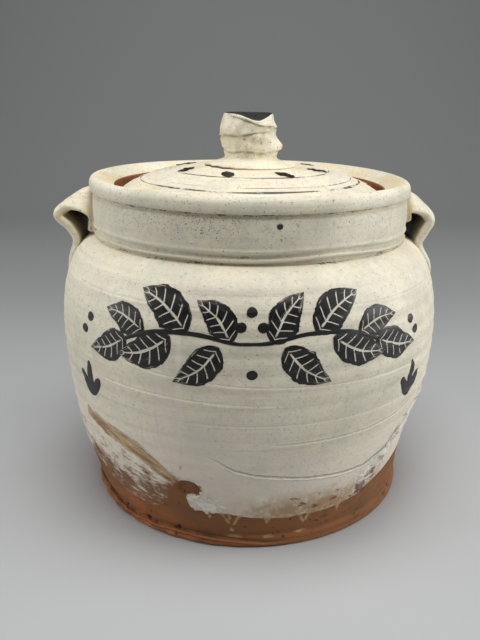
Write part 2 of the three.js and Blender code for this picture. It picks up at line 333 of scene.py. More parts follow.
def creamSlip(tree, warmth, stain, density):
    # colour, height and gloss of the pale coat: clouds of creams, wheel lines, runs, stains, iron pits
    where = place(tree)
    broad = spread(cloud(where, 18, 4, 0.6), 0.36, 0.60)
    patches = spread(cloud(where, 60, 5, 0.6), 0.42, 0.72)
    base = mixed(broad, slip["cool"], slip["plain"])
    base = mixed(patches * warmth, base, slip["warm"])
    rosy = spread(cloud(where, 34, 5, 0.65), 0.48, 0.70, 0.0, 0.6)
    base = mixed(rosy, base, slip["rose"])
    wheel = streaks(tree, 3, 430, 4, 0.65)
    base = mixed(spread(wheel, 0.55, 0.80, 0.0, 0.45), base, slip["wash"])
    runs = streaks(tree, 170, 7, 3, 0.6)
    base = mixed(spread(runs, 0.58, 0.82, 0.0, 0.26), base, slip["wash"])
    dusty = spread(cloud(where, 420, 5, 0.75), 0.47, 0.70, 0.0, 0.45)
    base = mixed(dusty, base, slip["wash"])
    blush = spread(cloud(where, 75, 4, 0.6), 0.38, 0.70)
    base = mixed(blush * stain, base, slip["ochre"])
    dots = pits(where, 430, 0.17, density * 0.6)
    fine = pits(where, 1250, 0.40, density)
    dark = larger(dots, fine * 0.85)
    base = mixed(dark * 0.85, base, slip["iron"])
    grain = cloud(where, 700, 4, 0.65)
    height = wheel * 0.40 + grain * 0.22 - dark * 0.4
    gloss = spread(cloud(where, 120, 3), 0.3, 0.7, 0.46, 0.62)
    return base, height, gloss


clay = {
    "brown": colour(122, 84, 50),
    "red": colour(140, 90, 50),
    "orange": colour(186, 106, 54),
    "dark": colour(56, 38, 26),
    "dust": colour(182, 148, 110),
}


def bareClay(tree, glow):
    # red clay: clouds from brown to red, an orange flush, pale scratches, dark pits and a sandy grain
    where = place(tree)
    base = mixed(spread(cloud(where, 26, 4), 0.36, 0.64), clay["brown"], clay["red"])
    flush = spread(cloud(where, 85, 4), 0.25, 0.6)
    base = mixed(flush * glow, base, clay["orange"])
    drag = streaks(tree, 12, 420, 4, 0.65)
    base = mixed(spread(drag, 0.53, 0.75, 0.0, 0.40), base, clay["dark"])
    scratches = streaks(tree, 55, 260, 5, 0.7, -0.15)
    base = mixed(spread(scratches, 0.60, 0.76, 0.0, 0.38), base, clay["dust"])
    dots = pits(where, 330, 0.30, 0.20)
    base = mixed(dots * 0.75, base, clay["dark"])
    grain = cloud(where, 480, 5, 0.7)
    return base, drag * 0.35 + grain * 0.45 - dots * 0.6


def raised(shader, height, depth):
    # height of 0 to 1 felt as a bump of that depth in mm
    node = height.nodes.new("ShaderNodeBump")
    for name, value in (("Strength", 1.0), ("Distance", depth * mm), ("Height", height)):
        feed(node.inputs[name], value)
    feed(shader.inputs["Normal"], Wire(node.outputs[0]))


# the thrown pot

potHigh = np.array(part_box("jar_body")[1]) / mm
pot = {
    "columns": 400,
    "crowding": 0.4,
    "belly": potHigh[0],
    "bellyHeight": 106,
    "collar": 93,
    "neck": potHigh[2] - 34,
    "wall": 7,
    "ringPitch": 9.4,
    "ringHeight": 0.24,
    "slipThickness": 0.45,
    "bellyDegree": 1.8,  # mm along the wall for one degree, low on the belly
    "runDegree": 1.75,  # the same just under the coat
    "toeDegree": 1.74,  # and along the foot
    "speckAt": (0.01345, -0.0923, 0.1798),  # the dark speck on the collar, in metres
}
# lower edge of the pale coat, (degrees from the front, height)
slipLine = np.array([
    (-180, 27), (-160, 23), (-140, 29), (-120, 34), (-100, 31), (-86, 35), (-77, 39), (-69.2, 36.2),
    (-66, 33), (-63.7, 30), (-58, 31), (-52.5, 26), (-47.4, 22.5), (-42.3, 19.8), (-35.9, 18.8),
    (-32.3, 18.8), (-27.2, 21.5), (-24.5, 29), (-22.5, 38), (-20.5, 43.5), (-18.4, 43.5), (-18, 30),
    (-17.2, 25), (-16, 23.4), (-13.8, 24.7), (-12.6, 21.8), (-11.1, 22.9), (-5.9, 23.2), (-2.8, 22.4),
    (2.1, 20.7), (7.3, 20.1), (12.7, 19.2), (18.3, 19.6), (24.3, 19.5), (31.1, 20.2), (37.8, 22), (45, 25.9),
    (52.2, 28.5), (59.9, 31.1), (72, 33), (85, 29), (100, 24), (120, 27), (140, 22), (160, 25), (180, 27),
], float)
# buff streak where the coat was wiped: degrees, upper edge, width
wipeLine = np.array([
    (-56, 71, 5), (-53, 70.4, 8), (-50, 69.4, 8.8), (-47, 68.3, 9.2), (-41, 66.6, 9.6), (-37, 65, 10),
    (-32.8, 62.4, 10.5), (-28.6, 58.4, 10.5), (-24.7, 52.4, 9), (-21.5, 47, 6), (-18.5, 45, 2),
], float)
# buff runs below the coat: degrees at the top and at the foot, lowest point, half width
runMarks = np.array([
    (-8.2, -6.0, 15.4, 1.0), (-1.4, -4.4, 15.0, 1.0), (-5.6, -5.4, 18.6, 0.8), (5.4, 6.0, 15.8, 0.9),
    (7.2, 6.6, 17.2, 0.9), (16.2, 17.8, 13.4, 0.8), (20.2, 18.6, 15.0, 0.8), (30.6, 30.3, 15.2, 0.8),
    (-11.5, -11.8, 19.0, 1.0), (98, 97, 17, 1.8), (128, 129, 19, 1.5), (155, 153, 16, 2.0),
    (-150, -151, 17, 1.8), (-112, -111, 24, 1.6),
], float)
# splashes of it lower down: degrees, height, half width, half height
flecks = np.array([
    (-4.6, 6.6, 4.2, 1.1), (-5.4, 11.6, 1.3, 1.6), (6.0, 6.6, 2.6, 0.8), (17.0, 8.0, 3.2, 1.0),
    (112, 7, 3, 1), (-140, 8, 3.4, 1.1),
], float)
# brown spots low on the coat: degrees, height, half width, half height
spots = np.array([
    (15.1, 32.5, 3.2, 1.8), (16.6, 27.5, 2.6, 1.1), (26.4, 27.6, 4.6, 1.6), (28.7, 38.0, 3.2, 1.5),
    (39.5, 27.0, 3.6, 3.4), (45.5, 33.5, 2.4, 4.4), (49.0, 41.0, 2.2, 3.0), (52.5, 56.0, 1.6, 3.4),
    (21, 24.5, 3.0, 0.9), (150, 34, 4, 2), (168, 30, 5, 2), (-160, 36, 4, 2), (-135, 42, 5, 2.4),
    (122, 40, 3, 2),
], float)
# ridges left by the ribs and fingers: heights along an arc, how far the lower side stands out, over how many
# mm it fades downwards, and how deep its line is cut
ridges = [
    {"degrees": (-12, -8, -3.2, 2.6, 8.6, 18.2, 28.9, 38.2, 45.2, 51, 58),
     "heights": (62.5, 59.8, 54.2, 51.2, 49.4, 46.2, 43.8, 43.2, 46.6, 53, 64),
     "out": 0.95, "fall": 10, "cut": 0.55},
    {"degrees": (4, 14, 24, 34, 46, 60), "heights": (70.4, 70.6, 70.6, 70.8, 72, 76),
     "out": 0.45, "fall": 4, "cut": 0.5},
    {"degrees": (-46, -21, -3, 12), "heights": (97.4, 96.2, 94.6, 94), "out": 0.45, "fall": 6},
    {"degrees": (-50, -26, -3, 20, 60), "heights": (116, 108.2, 104.7, 103, 101), "out": 0.36, "fall": 6},
    {"degrees": (-75, -40, -5, 35, 75), "heights": (143.4, 142.4, 142, 141.6, 142), "out": 0.22, "fall": 4},
    {"degrees": (-120, -60, 0, 60, 120), "heights": (84, 83.2, 82.6, 82, 82.6), "out": 0.24, "fall": 5},
    {"degrees": (-56, -52.6, -47, -41, -37, -32.8, -28.6, -24.7, -21.5),
     "heights": (71, 69.8, 68.3, 66.6, 65, 62.4, 58.4, 52.4, 47), "out": -0.6, "fall": 12, "cut": 0.5},
    {"degrees": (100, 140, 178), "heights": (62, 58, 55), "out": 0.55, "fall": 8},
    {"degrees": (-178, -140, -100), "heights": (116, 112, 108), "out": 0.4, "fall": 6},
]
# top of the chipped bead along the foot
toeLine = np.array([
    (-180, 3), (-100, 4), (-66, 6.9), (-56, 6.1), (-44, 4.7), (-35, 5), (-27, 5.9), (-17, 5.6), (-6, 4.7),
    (6, 2.6), (20, 2), (180, 3),
], float)
# pits knocked into the bead, and lumps on it: degrees, height, size
toePits = np.array([
    (-63, 6.2, 2.4), (-61, 4.2, 1.6), (-36.5, 5.6, 2.0), (-48, 6.2, 1.4), (-24, 6.6, 1.5), (-70, 3, 1.6),
    (58, 4, 1.6), (63, 6, 1.4), (120, 4, 1.8), (-130, 5, 2),
], float)
toeLumps = np.array([
    (-47, 3.4, 3.0), (-53, 4.2, 1.8), (-41.5, 3.6, 1.8), (-60, 4.6, 1.6), (-30, 3.4, 1.8),
], float)
chip = {"degrees": -16.9, "height": 39.2, "halfWidth": 6.6, "halfHeight": 5.4, "depth": 1.5}

# the profile, (radius, height): base, foot, wall, collar, rim, ledge, inner side and floor
footLine = curveThrough([
    (96.8, 0), (98.8, 0.4), (99.6, 1.5), (99.8, 3.3), (99.6, 5.3), (99.1, 7.0), (98.7, 8.2),
], 20)
lowWall = pulledCurve(footLine[-1], (103, 37.4), (pot["belly"], 69.7), (pot["belly"], pot["bellyHeight"]), 68)
highWall = pulledCurve((pot["belly"], pot["bellyHeight"]), (pot["belly"], 130.8),
                       (pot["collar"] + 16.5, pot["neck"] - 6), (pot["collar"], pot["neck"]), 36)
wallLine = np.concatenate([lowWall[1:], highWall[1:]])


def collarRadius(z):
    # a slightly bulging band with a groove, a bead, a cove and a soft ridge at its foot
    up = z - pot["neck"]
    band = 0.9 * (1 - ((up - 15) / 12) ** 2) * soft(up, 5, 8)
    foot = 0.9 * bell(up, 2.6, 0.9) + 0.8 * bell(up, 7.0, 1.0)
    grooves = 2.1 * bell(up, 0.7, 0.8) + 1.2 * bell(up, 4.9, 1.2) + 1.9 * bell(up, 24.9, 1.0)
    return pot["collar"] + band + foot - grooves


collarHeights = np.linspace(pot["neck"] + 0.3, pot["neck"] + 25.3, 34)
collarLine = np.stack([collarRadius(collarHeights), collarHeights], axis=1)
rimLine = curveThrough([
    collarLine[-1], (92.7, 185.6), (94.3, 185.9), (95.1, 186.6), (95.4, 188.2), (95.3, 190.5), (94.5, 192.6),
    (92.7, 193.85), (90.4, 193.5), (86.6, 191.8), (82.8, 189.8), (81.2, 188.9), (80.75, 188.0),
], 32)[1:]
sideHeights = np.linspace(146, 28, 14)
sideRadius = np.interp(sideHeights, wallLine[:, 1], wallLine[:, 0]) - pot["wall"]
sideLine = np.stack([sideRadius, sideHeights], axis=1)
ledgeLine = curveThrough([
    rimLine[-1], (80.7, 184.4), (80.3, 182.9), (79.0, 182.5), (73.0, 182.5), (71.6, 182.0), (71.2, 180.6),
    (71.4, 178.0), (72.6, 176.0), (79.5, 170.8), (85.4, 166.0), (87.4, 160.5), (91.6, 153.6), sideLine[0],
], 30)[1:]
floorLine = curveThrough([
    sideLine[-1], (92.4, 20.5), (88.7, 14.8), (82.9, 10.6), (75.6, 9.2), (62, 9), (42, 9), (22, 9), (6, 9),
], 12)[1:]
baseLine = np.stack([np.linspace(8, 92, 4), np.zeros(4)], axis=1)
outside = np.concatenate([footLine, wallLine, collarLine])
potLine = np.concatenate([baseLine, outside, rimLine, ledgeLine, sideLine[1:], floorLine])


def wallRadius(z):
    # radius of the outer profile at a height
    return np.interp(z, outside[:, 1], outside[:, 0])


def chipClear(degrees, z):
    # distance in mm outside the oval chip, negative inside it
    across = (degrees - chip["degrees"]) * pot["bellyDegree"] / chip["halfWidth"]
    upwards = (z - chip["height"]) / chip["halfHeight"]
    return (np.sqrt(across ** 2 + upwards ** 2) - 1) * chip["halfHeight"]


def chipRight(degrees, z):
    # distance in mm up and to the right of the chip's middle
    return (degrees - chip["degrees"]) * pot["bellyDegree"] + z - chip["height"]


def slipCover(angle, z):
    # signed distance in mm to the edge of the pale coat, above it positive, with an oval chip cut out
    degrees = np.degrees(angle)
    edge = heightAt(slipLine, degrees)
    slope = (heightAt(slipLine, degrees + 0.6) - edge) / 1.1
    above = (z - edge) / np.sqrt(1 + np.minimum(slope ** 2, 9))
    return np.minimum(above, chipClear(degrees, z))


def buffCover(angle, z):
    # signed distance in mm into the wiped streak
    degrees = np.degrees(angle)
    top = heightAt(wipeLine, degrees)
    width = np.interp(degrees, wipeLine[:, 0], wipeLine[:, 2], 0, 0)
    streak = 0.8 * np.minimum(top - z, z - top + width)
    return np.where(width > 0, streak, -20)


def runCover(angle, z):
    # signed distance in mm into the nearest slanting run, narrower towards its foot, or into a fleck
    degrees = np.degrees(angle)[..., None]
    up = z[..., None]
    high = heightAt(slipLine, degrees) + 2
    low = runMarks[:, 2] + runMarks[:, 3]
    share = np.clip((high - up) / (high - low), 0, 1)
    middle = runMarks[:, 0] + (runMarks[:, 1] - runMarks[:, 0]) * share
    below = np.maximum(low - up, 0)
    runs = runMarks[:, 3] * (1 - 0.3 * share) - np.hypot((degrees - middle) * pot["runDegree"], below)
    runs = np.where(up < high, runs, -20)
    aside = (degrees - flecks[:, 0]) * pot["runDegree"] / flecks[:, 2]
    above = (up - flecks[:, 1]) / flecks[:, 3]
    splash = (1 - np.hypot(aside, above)) * flecks[:, 3]
    return np.maximum(runs.max(-1), splash.max(-1))


def rubCover(angle, z):
    # share of rubbed-through coat: under the wiped streak, more towards the foot, and in a strip at the right
    degrees = np.degrees(angle)
    top = np.interp(degrees, wipeLine[:, 0], wipeLine[:, 1] - wipeLine[:, 2])
    window = between(degrees, -80, -68, -22, -17)
    low = 0.14 + 0.86 * soft(z, 56, 24)
    flank = 0.9 * bell(degrees, -55, 7) * bell(z, 40, 6)
    right = 0.4 * bell(z - 26 - 1.8 * (degrees - 38), 0, 7) * between(degrees, 36, 43, 60, 72)
    torn = bell(degrees, -24, 5) * (1 - soft(slipCover(angle, z), 0, 7))
    return np.maximum.reduce([window * soft(top - z, -1, 4) * low, flank, right, torn])


def dragCover(angle, z):
    # share of brown drag marks low on the coat, right and back, and of brown spots; painted shade in the
    # collar's grooves, and darker smudges on the collar's front
    degrees = np.degrees(angle)
    right = 0.35 * between(degrees, 8, 24, 64, 82) * soft(z, 42, 28)
    back = 0.4 * soft(np.abs(degrees), 105, 140) * soft(z, 48, 26)
    aside = (degrees[..., None] - spots[:, 0]) * pot["bellyDegree"] / spots[:, 2]
    above = (z[..., None] - spots[:, 1]) / spots[:, 3]
    near = np.exp(-(aside ** 2 + above ** 2)).max(-1)
    # painted shade: dark lines in the grooves under the rim, at the neck and in the cove
    grooveShadeAndSmudges = 0.75 * bell(z, 185.2, 0.6) + 0.5 * bell(z, 160.4, 0.6) + 0.25 * bell(z, 164.6, 0.9)
    grooveShadeAndSmudges = grooveShadeAndSmudges + 0.16 * bell(degrees, -12, 30) * bell(z, 179, 6)
    return np.clip(np.maximum(right, back) + near + grooveShadeAndSmudges, 0, 1)


def crustCover(angle, z):
    # share of thick flaky white: beside the chip, and in a strip that climbs the right flank
    degrees = np.degrees(angle)
    left = bell(degrees, -12, 6) * bell(z, 28, 7)
    flank = bell(z - 30 - 1.3 * (degrees - 38), 0, 11) * between(degrees, 32, 42, 66, 80)
    return np.maximum(left, flank)


def thinCover(angle, z):
    # share of thin tan coat just above its edge, to the right of the middle
    degrees = np.degrees(angle)
    return between(degrees, -10, 8, 46, 58) * soft(z, 42, 25)


def toeWindow(degrees):
    # 1 along the chipped stretch of the foot, at the left of the front
    return between(degrees, -95, -75, -12, 16)


def toeMarks(marks, degrees, z):
    # 1 at the middle of a pit or lump of the foot, fading over its size
    across = (degrees[..., None] - marks[:, 0]) * pot["toeDegree"]
    return np.exp(-(across ** 2 + (z[..., None] - marks[:, 1]) ** 2) / marks[:, 2] ** 2).max(-1)


def ridgeAt(ridge, degrees, z):
    # distance in mm below a ridge line, and its strength, which fades at both ends
    along = ridge["degrees"]
    below = np.interp(degrees, along, ridge["heights"]) - z
    return below, between(degrees, along[0], along[0] + 7, along[-1] - 9, along[-1])


def scoreLines(angle, z):
    # distance below the strongest nearby line, and how deep it is cut: the chip's edge, the bead, the ridges
    degrees = np.degrees(angle)
    distance = chipClear(degrees, z)
    best = bell(distance, 0, 3)
    # the depth also sets how strongly each line's highlight and shadow are painted; the chip's edge is cut
    # only at its upper right, where its shadow falls
    depth = 0.5 * best * soft(chipRight(degrees, z), -4, 2)
    broken = 0.55 + 0.4 * soft(unevenness(angle, 0 * z, 7, 50, 40), -0.6, 0.8)
    lines = [(heightAt(toeLine, degrees) - z, broken * toeWindow(degrees), 1)]
    for ridge in ridges:
        below, ends = ridgeAt(ridge, degrees, z)
        cut = math.copysign(ridge.get("cut", 0.2), ridge["out"])
        lines.append((below, ends * abs(ridge["out"]), cut))
    for below, strength, cut in lines:
        claim = strength * bell(below, 0, 2.4)
        taken = claim > best
        distance = np.where(taken, below, distance)
        depth = np.where(taken, claim * cut, depth)
        best = np.maximum(best, claim)
    return np.clip(distance, -9, 9), depth


def potRelief(angle, z):
    # thrower's rings as a one-start spiral, finger ridges, the coat, the worn toe and the wavering neck
    degrees = np.degrees(angle)
    spiral = 2 * math.pi * z / pot["ringPitch"] - angle
    belly = between(z, 26, 62, 150, 158)
    fade = 0.65 + 0.35 * np.sin(2 * angle + 0.05 * z + 0.7)
    out = pot["ringHeight"] * belly * fade * (np.sin(spiral) + 0.4 * np.sin(2 * spiral + 1.1))
    for ridge in ridges:
        below, ends = ridgeAt(ridge, degrees, z)
        ledge = soft(below, -0.7, 0.7) * np.exp(-np.maximum(below, 0) / ridge["fall"])
        out = out + ridge["out"] * ends * ledge
    coat = pot["slipThickness"] * soft(slipCover(angle, z), -1.2, 1.2)
    coat = coat - chip["depth"] * soft(-chipClear(degrees, z), -0.4, 1.6)
    crust = 0.6 * crustCover(angle, z) * (0.6 + 0.6 * unevenness(angle, z, 18, 60, 5))
    left = toeWindow(degrees)
    top = heightAt(toeLine, degrees)
    bead = (0.35 + 0.65 * left) * soft(z, top + 0.3, top - 0.8)
    bead = bead * (1 + 0.25 * unevenness(angle, z, 5, 60, 12))
    notch = -(0.25 + 0.8 * left) * bell(z, top + 1.1, 1.0)
    sway = 0.22 * unevenness(angle, z, 3, 3, 160)
    marks = 0.8 * toeMarks(toeLumps, degrees, z) - 1.5 * toeMarks(toePits, degrees, z)
    low = (bead + notch + marks - 0.7) * soft(z, 11, 7)
    waver = 0.55 * unevenness(angle, 0 * z, 25, 9, 40) * soft(z, pot["neck"] + 12, pot["neck"] + 6)
    neck = collarRadius(z + waver) - collarRadius(z)
    neck = neck * soft(z, pot["neck"] + 0.2, pot["neck"] + 1.2)
    return out + (coat + crust + low) * soft(z, 0.2, 1.6) + sway * soft(z, 10, 60) + neck


def outsidePoint(angle, z, lift):
    # point of the outer wall at a height, lifted square to the wall
    slope = wallRadius(z + 0.5) - wallRadius(z - 0.5)
    square = 1 / np.sqrt(1 + slope ** 2)
    return turned(wallRadius(z) + potRelief(angle, z) + lift * square, angle, z - lift * slope * square)


def potSheet():
    # the whole profile turned once round, with relief on the outside and more columns in front
    even = onceRound(pot["columns"], -math.pi)
    angle = even - pot["crowding"] * np.sin(even)
    radius, z = potLine[:, :1], potLine[:, 1:]
    row = np.arange(len(potLine))[:, None]
    rimStart = len(baseLine) + len(outside)
    rimEnd = rimStart + len(rimLine)
    outer = (row >= len(baseLine)) & (row < rimStart)
    grid = np.broadcast_to(z, (len(potLine), pot["columns"]))
    turn = np.broadcast_to(angle, grid.shape)
    # relief outside, fading over the rim, and throwing rings inside
    relief = np.where(outer, potRelief(turn, grid), 0)
    edge = relief[rimStart - 1] * np.exp(-(row - rimStart + 1) / 5.0)
    edge = edge + 0.16 * unevenness(turn, grid, 12, 9, 30)
    relief = np.where((row >= rimStart) & (row < rimEnd), edge, relief)
    throwing = 0.35 * np.sin(2 * math.pi * grid / 11 + turn) * between(grid, 26, 40, 120, 150)
    relief = np.where(row >= rimEnd + 0.7 * len(ledgeLine), throwing, relief)
    lipWave = 0.25 * unevenness(turn, 0 * grid, 15, 4, 30) * soft(grid, 180, 190) * (row < rimEnd)
    points = settled(turned(radius + relief, turn, grid + lipWave))
    # the coat goes over the rim and inside; the base and most of the gallery are bare
    cover = np.where(outer, slipCover(turn, grid), 90.0)
    cover = np.where(row < len(baseLine), -20.0, cover)
    gallery = (row >= rimEnd - 2) & (row < rimEnd + 0.45 * len(ledgeLine))
    degrees = np.degrees(turn)
    worn = 3 * bell(np.abs(degrees), 105, 30)
    cover = np.where(gallery, -3 - worn + 2.4 * unevenness(turn, grid, 21, 12, 12), cover)
    # stains where the lugs join and down the inner rim, and an ochre tint along the collar's grooves
    joins = bell(np.abs(np.abs(degrees) - 90), 0, 17) * (bell(grid, 184, 8) + 0.6 * bell(grid, 158, 5))
    slope = ((row >= rimStart + 0.5 * len(rimLine)) & (row < rimEnd)) * 0.45
    seam = (0.35 * bell(grid, 161, 1.6) + 0.5 * bell(grid, 185.3, 0.9)) * outer
    # iron specks low at the right, on the front of the collar and on the rim
    specks = 0.05 + 0.20 * between(degrees, 10, 26, 62, 80) * soft(grid, 60, 30)
    front = (0.08 + 0.9 * bell(degrees, -14, 22)) * bell(grid, 179, 6.5)
    front = front + (0.25 + 0.6 * bell(degrees, -14, 34)) * bell(grid, 184.6, 1.4)
    specks = specks + front + 0.14 * soft(grid, 186, 189)
    right = between(degrees, -12, 0, 75, 95)
    distance, depth = scoreLines(turn, grid)
    layers = {
        "buff": (buffCover, -20.0), "run": (runCover, -20.0), "rub": (rubCover, 0.0),
        "drag": (dragCover, 0.0), "crust": (crustCover, 0.0), "thin": (thinCover, 0.0),
    }
    # orange flush of the foot, strongest at the left, and painted shade in the chip's hollow, darkest at its
    # upper right
    glow = (0.15 + 0.3 * toeWindow(degrees)) * soft(grid, 9, 4)
    glow = glow + 0.6 * bell(degrees, -38, 22) * soft(grid, 28, 12)
    glow = glow + 1.9 * toeMarks(toeLumps, degrees, grid) + 0.3 * gallery
    chipShade = 0.56 * soft(-chipClear(degrees, grid), -0.6, 0.9) * soft(chipRight(degrees, grid), -1, 6)
    values = {
        "cover": cover,
        "frayed": 1 - 0.8 * right,
        **{key: np.where(outer, layer(turn, grid), none) for key, (layer, none) in layers.items()},
        "pitsAndChipShade": np.where(outer, np.maximum(toeMarks(toePits, degrees, grid), chipShade), 0.0),
        "stain": np.clip(joins + slope + seam, 0, 1),
        "specks": specks,
        "glow": np.clip(glow, 0, 1),
        "score": np.where(outer, distance, 9.0),
        "scoreDepth": np.where(outer, depth, 0.0),
    }
    return {"points": points, "values": values}


traces = {
    "veil": colour(190, 174, 150),
    "low": colour(238, 226, 212),
    "film": colour(172, 140, 104),
    "flake": colour(240, 236, 224),
    "wipeDark": colour(146, 112, 76),
    "wipePale": colour(190, 160, 116),
    # brown of drag marks and spots, also the painted shade in the collar's grooves
    "drag": colour(102, 62, 36),
    "run": colour(198, 162, 114),
    # dark pits of the foot, and painted shade in the chip's hollow
    "pitsAndChipShade": colour(52, 32, 22),
    # painted highlights for the lips of scored lines on clay and on coat, then painted shadow for their nicks
    "clayHighlight": colour(158, 102, 60),
    "slipHighlight": colour(248, 243, 230),
    "nickShadow": colour(82, 62, 46),
    "speck": colour(34, 42, 28),
}


def potFinish():
    # pale coat over red clay: the carried distance, roughened by noise, says where the coat ends
    finish, tree, shader = newFinish("slipped_clay")
    where = place(tree)
    ragged = cloud(where, 170, 5, 0.65) - 0.5
    crumbs = cloud(where, 620, 3, 0.6) - 0.5
    frayed = read(tree, "frayed")
    toEdge = read(tree, "cover")
    edge = toEdge + ragged * frayed * 8.0 + crumbs * (frayed * 2.4 + 0.6)
    # where it is rubbed through, and dragged brown, which also paints the shade in the collar's grooves
    rub = read(tree, "rub")
    rubs = streaks(tree, 110, 170, 6, 0.72, -0.3)
    scribble = streaks(tree, 130, 520, 4, 0.7, -0.25)
    rubs = scribble * 0.45 + rubs * 0.55
    rubbed = spread(rub * 0.20 + rubs, 0.53, 0.70) * spread(rub, 0.02, 0.2, 0.0, 0.97)
    drag = read(tree, "drag")
    marks = streaks(tree, 110, 260, 5, 0.75)
    dragged = spread(drag * 0.20 + marks, 0.62, 0.70) * spread(drag, 0.05, 0.3, 0.0, 0.85)
    coat = spread(edge, -0.3, 0.3) * (1.0 - rubbed)
    cream, creamHeight, creamGloss = creamSlip(tree, 0.45, read(tree, "stain"), read(tree, "specks"))
    # thinner low down, lighter and pinker towards the coat's edge as painted light from the floor, tan film,
    # white flakes
    veil = spread(toEdge, 16.0, 0.0, 0.0, 0.75) * spread(ragged, -0.2, 0.2)
    cream = mixed(veil, cream, traces["veil"])
    # painted light: the low belly made lighter, with a pinker tone
    cream = mixed(spread(toEdge, 62.0, 12.0, 0.0, 0.55), cream, traces["low"])
    film = spread(cloud(where, 80, 5, 0.7), 0.28, 0.58)
    cream = mixed(film * read(tree, "thin"), cream, traces["film"])
    crust = read(tree, "crust")
    flakes = spread(crust * 0.30 + cloud(where, 300, 5, 0.7), 0.60, 0.74)
    flakes = flakes * spread(crust, 0.1, 0.4)
    cream = mixed(flakes * 0.8, cream, traces["flake"])
    red, redHeight = bareClay(tree, read(tree, "glow"))
    # wiped streak, runs, dark pits, and painted shade in the chip's hollow
    buffEdge = read(tree, "buff") + ragged * 5.0 + crumbs * 2.0
    wiped = streaks(tree, 60, 420, 4, 0.7, -0.47)
    buff = spread(buffEdge, -0.8, 0.8) * spread(wiped, 0.66, 0.56, 0.3, 0.95)
    tan = mixed(spread(wiped, 0.40, 0.54), traces["wipeDark"], traces["wipePale"])
    base = mixed(coat, red, cream)
    base = mixed(dragged, base, traces["drag"])
    base = mixed(buff, base, tan)
    runEdge = read(tree, "run") + ragged * 1.6 + crumbs * 1.2
    runs = spread(runEdge, -0.6, 0.6) * spread(ragged, -0.16, 0.06, 0.45, 0.9)
    base = mixed(runs, base, traces["run"])
    pitsAndChipShadeMask = spread(crumbs * 0.9 + read(tree, "pitsAndChipShade"), 0.42, 0.62)
    base = mixed(pitsAndChipShadeMask * 0.85, base, traces["pitsAndChipShade"])
    # scored lines: a painted highlight on the pale lip below a painted shadow in the dark nick, both also
    # felt as bumps
    score = read(tree, "score") + crumbs * 0.8
    scoreDepth = read(tree, "scoreDepth")
    lip = spread(abs(score - 0.8), 1.2, 0.0)
    nickShadow = spread(abs(score + 0.5), 0.75, 0.0)
    cut = (lip - nickShadow) * scoreDepth
    deep = abs(scoreDepth)
    pale = mixed(coat, traces["clayHighlight"], traces["slipHighlight"])
    # painted highlight on the lip
    base = mixed(lip * deep * 1.3, base, pale)
    # painted shadow in the nick
    base = mixed(nickShadow * deep * 0.65, base, traces["nickShadow"])
    blot = distanceTo(where, pot["speckAt"]) + crumbs * 0.0012
    base = mixed(spread(blot, 0.0021, 0.0014), base, traces["speck"])
    feed(shader.inputs["Base Color"], base)
    feed(shader.inputs["Roughness"], creamGloss * 0.2 + coat * -0.28 + 0.74)
    height = coat * 0.55 + redHeight * 0.7 + creamHeight * 0.5 + cut * 2.4 + flakes * 0.5
    raised(shader, height, 0.6)
    return finish


slippedClay = potFinish()
jar = closedSkin("thrown_pot", [potSheet()], slippedClay, "pot")
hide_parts("jar_body")


# the two strap lugs

def creamFinish(name, warmth, specks):
    # pale coat with the clay showing where the mesh says so, dark umber for painted shade and brown smudges
    # where it says so, and black where it was brushed on
    finish, tree, shader = newFinish(name)
    cream, height, gloss = creamSlip(tree, warmth, read(tree, "stain"), specks)
    red, redHeight = bareClay(tree, 0.15)
    where = place(tree)
    ragged = cloud(where, 260, 5, 0.65) - 0.5
    # the clay mask also carries painted shade: clay colour in the knob's creases, under its torn edge and
    # under the strap
    bareAndShade = spread(ragged * 0.9 + read(tree, "bareAndShade"), 0.38, 0.62)
    base = mixed(bareAndShade, cream, red)
    # painted shade: dark umber in the strap's hollow and at its join, in the knob's creases and under its
    # torn edge; the knob's smudges are real brown spots
    base = mixed(read(tree, "shadeAndSmudge"), base, slip["shadeAndSmudge"])
    inked = spread(ragged + read(tree, "ink"), 0.45, 0.55)
    base = mixed(inked, base, slip["dipped"])
    feed(shader.inputs["Base Color"], base)
    feed(shader.inputs["Roughness"], bareAndShade * 0.3 + gloss)
    raised(shader, height + redHeight * bareAndShade * 0.6, 0.35)
    return finish


lugs = {
    "lug_left": {"side": -1, "reach": 24.6, "standoff": 3.5, "rootCamber": 20},
    "lug_right": {"side": 1, "reach": 18.6, "standoff": 1.0, "rootCamber": 11.5},
    "tipCamber": 1.2,
    "rings": 130,
    "sides": 60,
    "thickness": 6.0,
    "tailThickness": 3.4,
    "widths": [44, 39, 35, 34.5, 34, 30, 24],
}


